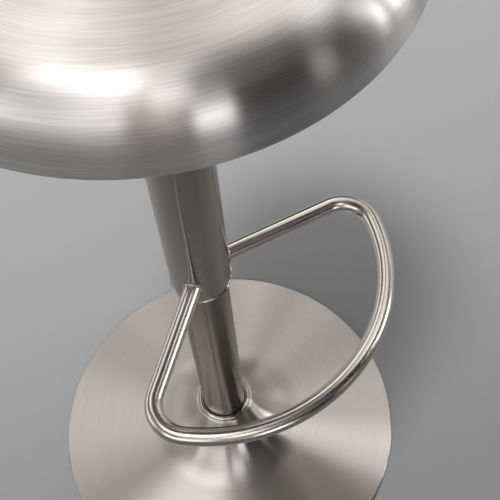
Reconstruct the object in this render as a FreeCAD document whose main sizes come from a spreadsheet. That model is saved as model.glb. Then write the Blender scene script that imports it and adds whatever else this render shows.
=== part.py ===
import FreeCAD, Part
import math
import os
import re
import Sketcher

# Bar stool in brushed stainless steel, raised and turned on a gas spring.
# The origin is the middle of the footprint on the floor, +Z is up, and the footrest
# points to -Y, which is the front. Lengths are millimetres, angles are degrees.

V = FreeCAD.Vector
doc = FreeCAD.newDocument("bar_stool")
sheet = doc.addObject("Spreadsheet::Sheet", "Sizes")

SIZES = {
    # base: spun cover over a pressed plate, with a cast ring for weight
    "base_radius": 210.0,
    "cover_wall": 1.2,
    "cover_lift": 0.8,
    "cover_skirt": 1.2,
    "cover_edge_radius": 2.4,
    "cover_slope": 6.3,
    "flare_radius": 70.0,
    "neck_slope": 72.0,
    "lip_radius": 3.6,
    "cover_height": 81.2,
    "plate_edge_gap": 10.0,
    "plate_wall": 1.5,
    "dish_radius": 48.0,
    "dish_rise": 6.0,
    "dish_run": 8.0,
    "plate_hole_radius": 16.0,
    "floor_ring_width": 14.0,
    "floor_ring_height": 1.5,
    "ballast_edge_gap": 35.0,
    "ballast_width": 81.0,
    "ballast_gap": 0.6,
    # lower tube, fixed to the base by a screwed flange
    "lower_tube_radius": 25.0,
    "lower_tube_wall": 2.0,
    "flange_radius": 46.0,
    "flange_height": 5.0,
    "spigot_height": 12.0,
    "flange_screw_circle": 36.0,
    "flange_screw_radius": 4.0,
    "collar_wall": 4.6,
    "collar_height": 14.0,
    "collar_rise": 0.8,
    "gasket_wall": 0.9,
    "gasket_drop": 4.0,
    "gasket_height": 9.0,
    "bush_depth": 46.0,
    "bush_length": 77.0,
    "bush_rim": 3.0,
    # gas spring: a rod that stands on a thrust bearing, and a cylinder that rides on it
    "rod_radius": 5.0,
    "rod_end_radius": 4.0,
    "rod_foot_height": 4.5,
    "race_radius": 15.0,
    "race_height": 2.0,
    "ball_radius": 2.5,
    "ball_circle": 11.0,
    "ball_count": 10,
    "cage_width": 6.6,
    "cage_height": 2.0,
    "bump_stop_radius": 11.0,
    "bump_stop_height": 20.0,
    "clip_radius": 8.0,
    "clip_height": 1.0,
    "clip_groove_depth": 1.0,
    "clip_mouth_share": 0.9,
    "washer_radius": 12.0,
    "washer_height": 1.5,
    "cylinder_radius": 14.0,
    "cylinder_wall": 1.5,
    "cylinder_length": 294.0,
    "cylinder_below_lever": 10.0,
    "cylinder_cap": 11.0,
    "taper_length": 32.0,
    "taper_shrink": 0.8,
    "gland_height": 18.0,
    "piston_height": 10.0,
    "piston_nose_radius": 3.0,
    "valve_radius": 2.5,
    "valve_head_radius": 4.0,
    "valve_head_height": 2.5,
    "valve_dome_radius": 4.0,
    # upper tube, with the footrest welded to it
    "upper_tube_wall": 2.0,
    "tube_overlap": 127.0,
    "upper_tube_chamfer": 0.8,
    "guide_ring_wall": 2.0,
    "guide_ring_height": 14.0,
    "guide_ring_inset": 5.0,
    "hub_wall": 4.0,
    "hub_height": 20.0,
    "hub_flange_height": 4.0,
    "hub_drop": 5.0,
    "footrest_above_foot": 25.8,
    "footrest_tube_radius": 8.0,
    "footrest_tube_wall": 1.5,
    "footrest_arc_radius": 159.0,
    "footrest_arc_centre": 17.4,
    "footrest_arm_angle": 66.3,
    "footrest_arm_offset": 3.8,
    "footrest_corner_radius": 29.8,
    "weld_size": 1.8,
    # seat: spun shell closed from below by a pan, on a bolted plate
    "seat_radius": 175.0,
    "seat_bottom": 780.0,
    "shell_wall": 1.2,
    "rim_height": 15.0,
    "rim_edge_radius": 2.2,
    "shoulder_radius": 37.0,
    "crown_radius": 1900.0,
    "hem_width": 16.0,
    "pan_wall": 1.5,
    "seat_plate_side": 160.0,
    "seat_plate_wall": 3.0,
    "seat_plate_corner": 18.0,
    "backing_side": 190.0,
    "backing_wall": 4.0,
    "backing_corner": 22.0,
    "seat_screw_spacing": 120.0,
    "seat_screw_radius": 4.0,
    "seat_washer_radius": 8.0,
    "seat_washer_height": 1.6,
    "screw_head_share": 1.7,
    "screw_head_height": 4.4,
    "screw_socket_share": 0.55,
    "screw_socket_depth": 2.4,
    "screw_spare_length": 1.0,
    # lever that presses the valve of the gas spring
    "lever_rod_radius": 4.0,
    "lever_level": 12.2,
    "lever_pivot_distance": 17.0,
    "lever_inner_reach": 3.0,
    "lever_bend_distance": 45.0,
    "lever_bend_radius": 40.0,
    "lever_droop": 12.0,
    "lever_reach": 104.0,
    "lever_pin_radius": 2.0,
    "bracket_gap": 8.6,
    "bracket_wall": 2.5,
    "bracket_length": 10.0,
    "bracket_foot": 3.5,
    "knob_radius": 7.5,
    "knob_neck_radius": 5.6,
    "knob_length": 38.0,
    "knob_wall": 3.0,
    "knob_round": 2.5,
    "lever_slot_width": 10.0,
    "lever_slot_below": 5.5,
    "lever_slot_above": 7.5,
    # clearances
    "running_gap": 0.08,
    "press_gap": 0.02,
    "pin_gap": 0.08,
    "side_gap": 0.3,
    "hole_gap": 0.5,
    "overrun": 5.0,
}

for row, (name, number) in enumerate(SIZES.items(), start=1):
    sheet.set("A%d" % row, name)
    sheet.set("B%d" % row, repr(number))
    sheet.setAlias("B%d" % row, name)
doc.recompute()

# Places that follow from the sizes. Each is a formula in the sheet's names.
PLACES = {}


def derive(name, formula):
    PLACES[name] = "(" + formula + ")"


def link(formula):
    """Write a formula's words as references to the sheet's cells."""
    def refer(match):
        word = match.group(0)
        if word in PLACES:
            return link(PLACES[word])
        return "Sizes." + word if word in SIZES else word
    return re.sub(r"[a-z_]+(?![a-z_(])", refer, str(formula))


def amount(formula):
    """The number that a formula has now, for a sketch's first drawing."""
    result = sheet.evalExpression(link(formula))
    return float(getattr(result, "Value", result))


def origin_feature(body, role):
    return next(item for item in body.Origin.OriginFeatures if item.Role == role)


def new_body(label):
    body = doc.addObject("PartDesign::Body", label)
    body.Label = label
    body.AllowCompound = True
    return body


def new_sketch(body, name, role):
    sketch = body.newObject("Sketcher::SketchObject", name)
    sketch.AttachmentSupport = [(origin_feature(body, role), "")]
    sketch.MapMode = "FlatFace"
    return sketch


def bind(sketch, kind, formula, *places):
    """Add one dimension to a sketch and bind it to a formula."""
    index = sketch.addConstraint(Sketcher.Constraint(kind, *places, amount(formula)))
    sketch.setExpression("Constraints[%d]" % index, link(formula))
    return index


def arc_between(start, end, radius, turn):
    """An arc of a radius from start to end; turn is 1 to the left and -1 to the right."""
    chord = end - start
    rise = math.sqrt(max(radius ** 2 - chord.Length ** 2 / 4, 0))
    left = V(-chord.y, chord.x, 0).normalize()
    centre = (start + end) * 0.5 + left * (rise * turn)
    angles = [math.atan2(point.y - centre.y, point.x - centre.x) for point in (start, end)]
    if turn < 0:
        angles.reverse()
    if angles[1] < angles[0]:
        angles[1] += 2 * math.pi
    return Part.ArcOfCircle(Part.Circle(centre, V(0, 0, 1), radius), *angles)


def draw_outline(sketch, corners, closed=True, offset="0"):
    """Draw an outline whose corners are pairs of formulas (across, up).

    A third item makes the run to the next corner an arc: (radius, turn). Each corner
    is dimensioned from the sketch's origin, so the outline follows the sheet."""
    across = [offset + " + " + corner[0] if offset != "0" else corner[0] for corner in corners]
    points = [V(amount(x), amount(corner[1]), 0) for x, corner in zip(across, corners)]
    runs = len(corners) if closed else len(corners) - 1
    ends = []
    for index in range(runs):
        start, end = points[index], points[(index + 1) % len(points)]
        if len(corners[index]) == 3:
            radius, turn = corners[index][2]
            run = sketch.addGeometry(arc_between(start, end, amount(radius), turn))
            bind(sketch, "Radius", radius, run)
            ends.append((run, 1, 2) if turn > 0 else (run, 2, 1))
        else:
            run = sketch.addGeometry(Part.LineSegment(start, end))
            ends.append((run, 1, 2))
    for index in range(runs):
        run, first, _ = ends[index]
        if closed or index > 0:
            before, _, before_last = ends[index - 1]
            sketch.addConstraint(Sketcher.Constraint("Coincident", before, before_last, run, first))
        place_corner(sketch, run, first, across[index], corners[index][1])
    if not closed:
        run, _, last = ends[-1]
        place_corner(sketch, run, last, across[-1], corners[-1][1])


def place_corner(sketch, run, end, across, up):
    if across == "0":
        sketch.addConstraint(Sketcher.Constraint("PointOnObject", run, end, -2))
    else:
        bind(sketch, "DistanceX", across, -1, 1, run, end)
    if up == "0":
        sketch.addConstraint(Sketcher.Constraint("PointOnObject", run, end, -1))
    else:
        bind(sketch, "DistanceY", up, -1, 1, run, end)


def turned(label, corners, body=None, axis="0"):
    """A piece turned about the column's axis, or about an upright axis at a distance."""
    body = body or new_body(label)
    sketch = new_sketch(body, label + "_outline", "XZ_Plane")
    draw_outline(sketch, corners, offset=axis)
    turn = body.newObject("PartDesign::Revolution", label + "_turned")
    turn.Profile = sketch
    if axis == "0":
        turn.ReferenceAxis = (sketch, ["V_Axis"])
    else:
        ends = [V(amount(axis), 0, 0), V(amount(axis), amount("overrun"), 0)]
        line = sketch.addGeometry(Part.LineSegment(*ends), True)
        sketch.addConstraint(Sketcher.Constraint("Vertical", line))
        sketch.addConstraint(Sketcher.Constraint("PointOnObject", line, 1, -1))
        bind(sketch, "DistanceX", axis, -1, 1, line, 1)
        bind(sketch, "DistanceY", "overrun", line, 1, line, 2)
        turn.ReferenceAxis = (sketch, ["Axis0"])
    turn.Angle = 360
    doc.recompute()
    return body


def ring(inner, outer, low, high):
    """The outline of a plain ring."""
    return [(inner, low), (outer, low), (outer, high), (inner, high)]


def repeat_round(body, feature, count):
    """Repeat a feature around the column's axis."""
    pattern = body.newObject("PartDesign::PolarPattern", body.Label + "_pattern")
    pattern.Originals = [feature]
    pattern.Axis = (origin_feature(body, "Z_Axis"), [""])
    pattern.Angle = 360
    if isinstance(count, int):
        pattern.Occurrences = count
    else:
        pattern.setExpression("Occurrences", link(count))
    body.Tip = pattern
    doc.recompute()
    return pattern


def drill(body, name, radius, across, along="0", role="XY_Plane"):
    """Drill a round hole right through a body, square to one of its origin planes."""
    sketch = new_sketch(body, name + "_circle", role)
    hole = sketch.addGeometry(Part.Circle(V(amount(across), amount(along), 0), V(0, 0, 1), amount(radius)))
    place_corner(sketch, hole, 3, across, along)
    bind(sketch, "Radius", radius, hole)
    before = body.Shape.Volume
    pocket = body.newObject("PartDesign::Pocket", name)
    pocket.Profile = sketch
    pocket.Type = "ThroughAll"
    pocket.Midplane = True
    doc.recompute()
    if not body.Shape.Volume < before:
        raise ValueError(name + " cuts nothing")
    return pocket


def screws(label, circle, radius, head_top, length, count):
    """Round-headed screws driven upwards, in one group on a circle about the column."""
    head = "(" + radius + " * screw_head_share)"
    socket = "(" + radius + " * screw_socket_share)"
    body = turned(label, [
        ("0", head_top + " - screw_head_height + screw_socket_depth"),
        (socket, head_top + " - screw_head_height + screw_socket_depth"),
        (socket, head_top + " - screw_head_height"),
        (head, head_top + " - screw_head_height"),
        (head, head_top),
        (radius, head_top),
        (radius, head_top + " + " + length),
        ("0", head_top + " + " + length),
    ], axis=circle)
    repeat_round(body, body.Tip, count)
    return body


def spun_sheet(label, corners, wall):
    """Sheet metal spun to a line through the middle of its wall."""
    sketch = doc.addObject("Sketcher::SketchObject", label + "_middle")
    sketch.Placement = FreeCAD.Placement(V(0, 0, 0), FreeCAD.Rotation(V(1, 0, 0), 90))
    draw_outline(sketch, corners, closed=False)
    doc.recompute()
    strip = doc.addObject("Part::Offset2D", label + "_strip")
    strip.Source = sketch
    strip.Fill = True
    strip.setExpression("Value", link(wall + " / 2"))
    doc.recompute()
    shell = doc.addObject("Part::Revolution", label)
    shell.Source = strip
    shell.Axis = V(0, 0, 1)
    shell.Angle = 360
    shell.Solid = True
    shell.Label = label
    doc.recompute()
    return shell

# Heights run down from the seat: plate, lever, gas cylinder, lower tube and upper tube.
derive("plate_under", "seat_bottom + shell_wall - seat_plate_wall")
derive("lever_up", "plate_under - lever_level")
derive("cylinder_top", "lever_up - cylinder_below_lever")
derive("cylinder_bottom", "cylinder_top - cylinder_length")
derive("lower_tube_top", "cylinder_bottom + bush_depth")
derive("upper_tube_bottom", "lower_tube_top - tube_overlap")
derive("footrest_height", "upper_tube_bottom + footrest_above_foot")

# Widths run outwards from the lower tube, and inwards from the base's edge.
derive("collar_bore", "lower_tube_radius + gasket_wall")
derive("collar_radius", "collar_bore + collar_wall")
derive("upper_tube_radius", "lower_tube_radius + guide_ring_wall + upper_tube_wall")
derive("hub_radius", "cylinder_radius + hub_wall")
derive("plate_radius", "base_radius - plate_edge_gap")
derive("ballast_radius", "base_radius - ballast_edge_gap")


def base_cover():
    """Spun cover: skirt, rounded edge, shallow cone, hollow flare and rolled lip.

    The flare is the arc that touches both the cone's line and the neck's line."""
    derive("middle_edge", "cover_edge_radius - cover_wall / 2")
    derive("edge_across", "base_radius - cover_edge_radius")
    derive("edge_up", "cover_lift + cover_skirt")
    derive("cone_across", "edge_across + middle_edge * sin(cover_slope)")
    derive("cone_up", "edge_up + middle_edge * cos(cover_slope)")
    derive("middle_lip", "lip_radius - cover_wall / 2")
    derive("lip_across", "collar_radius + side_gap + cover_wall / 2")
    derive("lip_up", "cover_height - lip_radius")
    derive("neck_across", "lip_across + middle_lip * sin(neck_slope)")
    derive("neck_up", "lip_up + middle_lip * cos(neck_slope)")
    derive("meet_across", "(cone_up - neck_up + tan(cover_slope) * cone_across"
           " - tan(neck_slope) * neck_across) / (tan(cover_slope) - tan(neck_slope))")
    derive("meet_up", "cone_up + tan(cover_slope) * (cone_across - meet_across)")
    derive("flare_reach", "flare_radius * tan((neck_slope - cover_slope) / 2)")
    return spun_sheet("base_cover", [
        ("base_radius - cover_wall / 2", "cover_lift + cover_wall / 2"),
        ("base_radius - cover_wall / 2", "edge_up", ("middle_edge", 1)),
        ("cone_across", "cone_up"),
        ("meet_across + flare_reach * cos(cover_slope)",
         "meet_up - flare_reach * sin(cover_slope)", ("flare_radius", -1)),
        ("meet_across - flare_reach * cos(neck_slope)", "meet_up + flare_reach * sin(neck_slope)"),
        ("neck_across", "neck_up", ("middle_lip", 1)),
        ("lip_across", "cover_height - cover_wall / 2"),
    ], "cover_wall")


derive("plate_low", "floor_ring_height")
derive("plate_high", "plate_low + plate_wall")
derive("dish_low", "plate_low + dish_rise")
derive("flange_low", "dish_low + plate_wall")
derive("flange_top", "flange_low + flange_height")
derive("spigot_top", "flange_top + spigot_height")


def base_plate():
    """Pressed floor plate whose raised middle leaves room for the screw heads."""
    body = turned("base_plate", [
        ("plate_hole_radius", "dish_low"),
        ("dish_radius", "dish_low"),
        ("dish_radius + dish_run", "plate_low"),
        ("plate_radius", "plate_low"),
        ("plate_radius", "plate_high"),
        ("dish_radius + dish_run + plate_wall / 2", "plate_high"),
        ("dish_radius + plate_wall / 2", "flange_low"),
        ("plate_hole_radius", "flange_low"),
    ])
    hole = drill(body, "plate_screw_hole", "flange_screw_radius + hole_gap", "flange_screw_circle")
    repeat_round(body, hole, 4)
    return body


def floor_ring():
    """Rubber ring glued under the rim of the plate, on which the stool stands."""
    return turned("floor_ring", ring("plate_radius - floor_ring_width", "plate_radius",
                                     "0", "floor_ring_height"))


def ballast_ring():
    """Cast ring on the plate, whose top runs along the inside of the cover's cone."""
    derive("ballast_inner", "ballast_radius - ballast_width")
    derive("cover_under", "cone_up - cover_wall / 2 / cos(cover_slope) - ballast_gap")
    return turned("ballast_ring", [
        ("ballast_inner", "plate_high"),
        ("ballast_radius", "plate_high"),
        ("ballast_radius", "cover_under + tan(cover_slope) * (cone_across - ballast_radius)"),
        ("ballast_inner", "cover_under + tan(cover_slope) * (cone_across - ballast_inner)"),
    ])


def tube_flange():
    """Steel flange with a spigot that centres the lower tube, drilled for the rod's end."""
    body = turned("tube_flange", [
        ("rod_end_radius + side_gap", "flange_low"),
        ("flange_radius", "flange_low"),
        ("flange_radius", "flange_top"),
        ("lower_tube_radius - lower_tube_wall - press_gap", "flange_top"),
        ("lower_tube_radius - lower_tube_wall - press_gap", "spigot_top"),
        ("rod_end_radius + side_gap", "spigot_top"),
    ])
    hole = drill(body, "flange_screw_hole", "flange_screw_radius + press_gap", "flange_screw_circle")
    repeat_round(body, hole, 4)
    return body


def flange_screws():
    return screws("flange_screws", "flange_screw_circle", "flange_screw_radius", "dish_low",
                  "plate_wall + flange_height", 4)


def lower_tube():
    """Fixed tube of the column, welded to the flange."""
    return turned("lower_tube", ring("lower_tube_radius - lower_tube_wall", "lower_tube_radius",
                                     "flange_top", "lower_tube_top"))


def base_collar():
    """Polished ring in the cover's mouth, with a rounded top edge."""
    derive("collar_top", "cover_height + collar_rise")
    derive("collar_round", "(collar_radius - collar_bore) / 3")
    return turned("base_collar", [
        ("collar_bore", "collar_top - collar_height"),
        ("collar_radius", "collar_top - collar_height"),
        ("collar_radius", "collar_top - collar_round", ("collar_round", 1)),
        ("collar_radius - collar_round", "collar_top"),
        ("collar_bore + collar_round", "collar_top", ("collar_round", 1)),
        ("collar_bore", "collar_top - collar_round"),
    ])


def collar_gasket():
    """Rubber sleeve between collar and tube, set back so that the mouth looks dark."""
    return turned("collar_gasket", ring("lower_tube_radius + press_gap", "collar_bore - press_gap",
                                        "collar_top - gasket_drop - gasket_height",
                                        "collar_top - gasket_drop"))


def guide_bush():
    """Long plastic bush in the top of the lower tube, which guides the gas cylinder."""
    derive("bush_bore", "cylinder_radius + running_gap")
    return turned("guide_bush", [
        ("bush_bore", "lower_tube_top - bush_length"),
        ("lower_tube_radius - lower_tube_wall - press_gap", "lower_tube_top - bush_length"),
        ("lower_tube_radius - lower_tube_wall - press_gap", "lower_tube_top"),
        ("lower_tube_radius - side_gap", "lower_tube_top"),
        ("lower_tube_radius - side_gap", "lower_tube_top + bush_rim"),
        ("bush_bore", "lower_tube_top + bush_rim"),
    ])


derive("race_top", "spigot_top + race_height")
derive("ball_centre", "race_top + pin_gap + ball_radius")
derive("upper_race_low", "race_top + 2 * (pin_gap + ball_radius)")
derive("rod_shoulder", "upper_race_low + race_height")


def lower_race():
    return turned("lower_race", ring("rod_end_radius + side_gap", "race_radius",
                                     "spigot_top", "race_top"))


def ball_cage():
    """Flat ring that keeps the balls apart."""
    body = turned("ball_cage", ring("ball_circle - cage_width / 2", "ball_circle + cage_width / 2",
                                    "ball_centre - cage_height / 2", "ball_centre + cage_height / 2"))
    hole = drill(body, "ball_hole", "ball_radius + pin_gap", "ball_circle")
    repeat_round(body, hole, "ball_count")
    return body


def bearing_balls():
    """Balls of the thrust bearing, each a half disc turned about its own upright axis."""
    body = turned("bearing_balls", [
        ("0", "ball_centre - ball_radius", ("ball_radius", 1)),
        ("ball_radius", "ball_centre", ("ball_radius", 1)),
        ("0", "ball_centre + ball_radius"),
    ], axis="ball_circle")
    repeat_round(body, body.Tip, "ball_count")
    return body


def upper_race():
    return turned("upper_race", ring("rod_end_radius + press_gap", "race_radius",
                                     "upper_race_low", "rod_shoulder"))


derive("piston_low", "cylinder_bottom + gland_height + side_gap")
derive("piston_top", "piston_low + piston_height")
derive("washer_low", "flange_low - side_gap - washer_height")
derive("clip_low", "washer_low - pin_gap - clip_height")


def piston_rod():
    """Rod of the gas spring, stepped down at its foot and grooved there for the clip."""
    return turned("piston_rod", [
        ("0", "rod_foot_height"),
        ("rod_end_radius", "rod_foot_height"),
        ("rod_end_radius", "clip_low - press_gap"),
        ("rod_end_radius - clip_groove_depth", "clip_low - press_gap"),
        ("rod_end_radius - clip_groove_depth", "clip_low + clip_height + press_gap"),
        ("rod_end_radius", "clip_low + clip_height + press_gap"),
        ("rod_end_radius", "rod_shoulder"),
        ("rod_radius", "rod_shoulder"),
        ("rod_radius", "piston_low"),
        ("piston_nose_radius", "piston_low"),
        ("piston_nose_radius", "piston_top"),
        ("0", "piston_top"),
    ])


def piston_head():
    """Piston on the rod's top, running in the cylinder."""
    return turned("piston_head", ring("piston_nose_radius + press_gap",
                                      "cylinder_radius - cylinder_wall - running_gap",
                                      "piston_low", "piston_top"))


def bump_stop():
    """Rubber buffer on the rod above the bearing, with rounded edges."""
    derive("bump_round", "(bump_stop_radius - rod_radius) / 3")
    return turned("bump_stop", [
        ("rod_radius + press_gap", "rod_shoulder"),
        ("bump_stop_radius", "rod_shoulder"),
        ("bump_stop_radius", "rod_shoulder + bump_stop_height - bump_round", ("bump_round", 1)),
        ("bump_stop_radius - bump_round", "rod_shoulder + bump_stop_height"),
        ("rod_radius + press_gap", "rod_shoulder + bump_stop_height"),
    ])


def retaining_washer():
    return turned("retaining_washer", ring("rod_end_radius + press_gap", "washer_radius",
                                           "washer_low", "washer_low + washer_height"))


def retaining_clip():
    """Clip in the rod's groove, open on one side so that it can be pushed on."""
    derive("clip_inner", "rod_end_radius - clip_groove_depth + press_gap")
    body = turned("retaining_clip", ring("clip_inner", "clip_radius",
                                         "clip_low", "clip_low + clip_height"))
    sketch = new_sketch(body, "clip_mouth", "XY_Plane")
    draw_outline(sketch, [
        ("0 - clip_inner * clip_mouth_share", "0"),
        ("clip_inner * clip_mouth_share", "0"),
        ("clip_inner * clip_mouth_share", "clip_radius + overrun"),
        ("0 - clip_inner * clip_mouth_share", "clip_radius + overrun"),
    ])
    pocket = body.newObject("PartDesign::Pocket", "clip_opening")
    pocket.Profile = sketch
    pocket.Type = "ThroughAll"
    pocket.Midplane = True
    doc.recompute()
    return body


def gas_cylinder():
    """Pressure tube of the gas spring: plain below, tapered and closed at the top."""
    derive("cylinder_bore", "cylinder_radius - cylinder_wall")
    return turned("gas_cylinder", [
        ("cylinder_bore", "cylinder_bottom"),
        ("cylinder_radius", "cylinder_bottom"),
        ("cylinder_radius", "cylinder_top - taper_length"),
        ("cylinder_radius - taper_shrink", "cylinder_top"),
        ("valve_radius + running_gap", "cylinder_top"),
        ("valve_radius + running_gap", "cylinder_top - cylinder_cap"),
        ("cylinder_bore - taper_shrink", "cylinder_top - cylinder_cap"),
        ("cylinder_bore - taper_shrink", "cylinder_top - taper_length"),
        ("cylinder_bore", "cylinder_top - taper_length"),
    ])


def cylinder_gland():
    """Gland that closes the cylinder's foot round the rod."""
    return turned("cylinder_gland", ring("rod_radius + running_gap",
                                         "cylinder_radius - cylinder_wall - press_gap",
                                         "cylinder_bottom", "cylinder_bottom + gland_height"))


derive("valve_top", "lever_up - lever_rod_radius - side_gap")


def valve_pin():
    """Release pin of the gas spring, domed on top, with a head inside the cylinder."""
    derive("valve_dome_drop", "valve_dome_radius - sqrt(valve_dome_radius ^ 2 - valve_radius ^ 2)")
    derive("valve_head_top", "cylinder_top - cylinder_cap - pin_gap")
    return turned("valve_pin", [
        ("0", "valve_head_top - valve_head_height"),
        ("valve_head_radius", "valve_head_top - valve_head_height"),
        ("valve_head_radius", "valve_head_top"),
        ("valve_radius", "valve_head_top"),
        ("valve_radius", "valve_top - valve_dome_drop", ("valve_dome_radius", 1)),
        ("0", "valve_top"),
    ])


def upper_tube():
    """Sliding tube of the column, bevelled at the bottom and slotted for the lever."""
    body = turned("upper_tube", [
        ("upper_tube_radius - upper_tube_wall", "upper_tube_bottom"),
        ("upper_tube_radius - upper_tube_chamfer", "upper_tube_bottom"),
        ("upper_tube_radius", "upper_tube_bottom + upper_tube_chamfer"),
        ("upper_tube_radius", "plate_under"),
        ("upper_tube_radius - upper_tube_wall", "plate_under"),
    ])
    sketch = new_sketch(body, "lever_slot", "YZ_Plane")
    draw_outline(sketch, [
        ("0 - lever_slot_width / 2", "lever_up - lever_slot_below"),
        ("lever_slot_width / 2", "lever_up - lever_slot_below"),
        ("lever_slot_width / 2", "lever_up + lever_slot_above"),
        ("0 - lever_slot_width / 2", "lever_up + lever_slot_above"),
    ])
    before = body.Shape.Volume
    pocket = body.newObject("PartDesign::Pocket", "lever_slot_cut")
    pocket.Profile = sketch
    pocket.setExpression("Length", link("upper_tube_radius + overrun"))
    doc.recompute()
    if not body.Shape.Volume < before:
        raise ValueError("the lever's slot cuts nothing")
    return body


def guide_ring():
    """Plastic ring in the foot of the upper tube, running on the lower tube."""
    return turned("guide_ring", ring("lower_tube_radius + running_gap",
                                     "upper_tube_radius - upper_tube_wall - press_gap",
                                     "upper_tube_bottom + guide_ring_inset",
                                     "upper_tube_bottom + guide_ring_inset + guide_ring_height"))


def taper_hub():
    """Hub welded inside the upper tube; its tapered bore sits on the cylinder's taper."""
    derive("hub_top", "cylinder_top - hub_drop")
    derive("hub_low", "hub_top - hub_height")
    derive("taper_rate", "taper_shrink / taper_length")
    derive("taper_start", "cylinder_top - taper_length")
    derive("bore_low", "cylinder_radius + press_gap - taper_rate * (hub_low - taper_start)")
    derive("bore_high", "cylinder_radius + press_gap - taper_rate * (hub_top - taper_start)")
    return turned("taper_hub", [
        ("bore_low", "hub_low"),
        ("hub_radius", "hub_low"),
        ("hub_radius", "hub_top - hub_flange_height"),
        ("upper_tube_radius - upper_tube_wall - press_gap", "hub_top - hub_flange_height"),
        ("upper_tube_radius - upper_tube_wall - press_gap", "hub_top"),
        ("bore_high", "hub_top"),
    ])


# The footrest lies level. Its two arms run straight from the column, and each ends in a
# corner arc that touches both the arm and the large front arc.
derive("corner_offset", "footrest_arm_offset + footrest_corner_radius")
derive("corner_swing", "footrest_arc_radius - footrest_corner_radius")
derive("corner_reach", "footrest_arc_centre * cos(footrest_arm_angle) + sqrt(corner_swing ^ 2"
       " - (corner_offset - footrest_arc_centre * sin(footrest_arm_angle)) ^ 2)")
derive("corner_forward", "corner_reach * cos(footrest_arm_angle)"
       " + corner_offset * sin(footrest_arm_angle)")
derive("corner_aside", "corner_reach * sin(footrest_arm_angle)"
       " - corner_offset * cos(footrest_arm_angle)")
derive("arm_forward", "corner_forward - footrest_corner_radius * sin(footrest_arm_angle)")
derive("arm_aside", "corner_aside + footrest_corner_radius * cos(footrest_arm_angle)")
derive("front_forward", "corner_forward + footrest_corner_radius"
       " * (corner_forward - footrest_arc_centre) / corner_swing")
derive("front_aside", "corner_aside * (1 + footrest_corner_radius / corner_swing)")
derive("root_forward", "footrest_arm_offset * sin(footrest_arm_angle)"
       " + upper_tube_radius / 2 * cos(footrest_arm_angle)")
derive("root_aside", "upper_tube_radius / 2 * sin(footrest_arm_angle)"
       " - footrest_arm_offset * cos(footrest_arm_angle)")


def footrest():
    """Bent tube in one piece, its two ends cut to the round of the upper tube."""
    body = new_body("footrest")
    path = new_sketch(body, "footrest_path", "XY_Plane")
    draw_outline(path, [
        ("root_aside", "0 - root_forward"),
        ("arm_aside", "0 - arm_forward", ("footrest_corner_radius", -1)),
        ("front_aside", "0 - front_forward", ("footrest_arc_radius", -1)),
        ("0 - front_aside", "0 - front_forward", ("footrest_corner_radius", -1)),
        ("0 - arm_aside", "0 - arm_forward"),
        ("0 - root_aside", "0 - root_forward"),
    ], closed=False)
    doc.recompute()
    section = body.newObject("Sketcher::SketchObject", "footrest_section")
    section.AttachmentSupport = [(path, "Edge1")]
    section.MapMode = "NormalToEdge"
    for name in ("footrest_tube_radius", "footrest_tube_radius - footrest_tube_wall"):
        circle = section.addGeometry(Part.Circle(V(0, 0, 0), V(0, 0, 1), amount(name)))
        section.addConstraint(Sketcher.Constraint("Coincident", circle, 3, -1, 1))
        bind(section, "Radius", name, circle)
    doc.recompute()
    tube = body.newObject("PartDesign::AdditivePipe", "footrest_tube")
    tube.Profile = section
    tube.Spine = path
    doc.recompute()
    sketch = new_sketch(body, "column_round", "XY_Plane")
    circle = sketch.addGeometry(Part.Circle(V(0, 0, 0), V(0, 0, 1), amount("upper_tube_radius")))
    sketch.addConstraint(Sketcher.Constraint("Coincident", circle, 3, -1, 1))
    bind(sketch, "Radius", "upper_tube_radius", circle)
    before = body.Shape.Volume
    saddle = body.newObject("PartDesign::Pocket", "footrest_saddle")
    saddle.Profile = sketch
    saddle.Type = "ThroughAll"
    saddle.Midplane = True
    body.setExpression("Placement.Base.z", link("footrest_height"))
    doc.recompute()
    if not body.Shape.Volume < before:
        raise ValueError("the footrest's ends are not cut")
    return body


def bound_cylinder(name, radius, height, placement):
    cylinder = doc.addObject("Part::Cylinder", name)
    cylinder.setExpression("Radius", link(radius))
    cylinder.setExpression("Height", link(height))
    cylinder.setExpression("Placement", link(placement))
    return cylinder


def joined(kind, name, base, tool):
    """A boolean of two solids: Part::Cut or Part::Common."""
    result = doc.addObject(kind, name)
    result.Base = base
    result.Tool = tool
    doc.recompute()
    return result


def footrest_weld(side, hand):
    """Weld bead round an arm's end: a collar on the saddle, as thick as it is wide."""
    label = "footrest_weld_" + side
    along = ("placement(vector(0 - %d * footrest_arm_offset * cos(footrest_arm_angle);"
             " 0 - footrest_arm_offset * sin(footrest_arm_angle); footrest_height);"
             " rotation(vector(cos(footrest_arm_angle); %d * sin(footrest_arm_angle); 0); 90))"
             % (hand, hand))
    upright = "placement(vector(0; 0; footrest_height - upper_tube_radius); rotation(0; 0; 0))"
    bead = joined("Part::Common", label + "_bead",
                  bound_cylinder(label + "_round", "footrest_tube_radius + weld_size",
                                 "2 * upper_tube_radius", along),
                  bound_cylinder(label + "_skin", "upper_tube_radius + weld_size",
                                 "2 * upper_tube_radius", upright))
    bead = joined("Part::Cut", label + "_seat", bead,
                  bound_cylinder(label + "_column", "upper_tube_radius",
                                 "2 * upper_tube_radius", upright))
    bead = joined("Part::Cut", label, bead,
                  bound_cylinder(label + "_arm", "footrest_tube_radius",
                                 "2 * upper_tube_radius", along))
    bead.Label = label
    return bead


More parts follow.
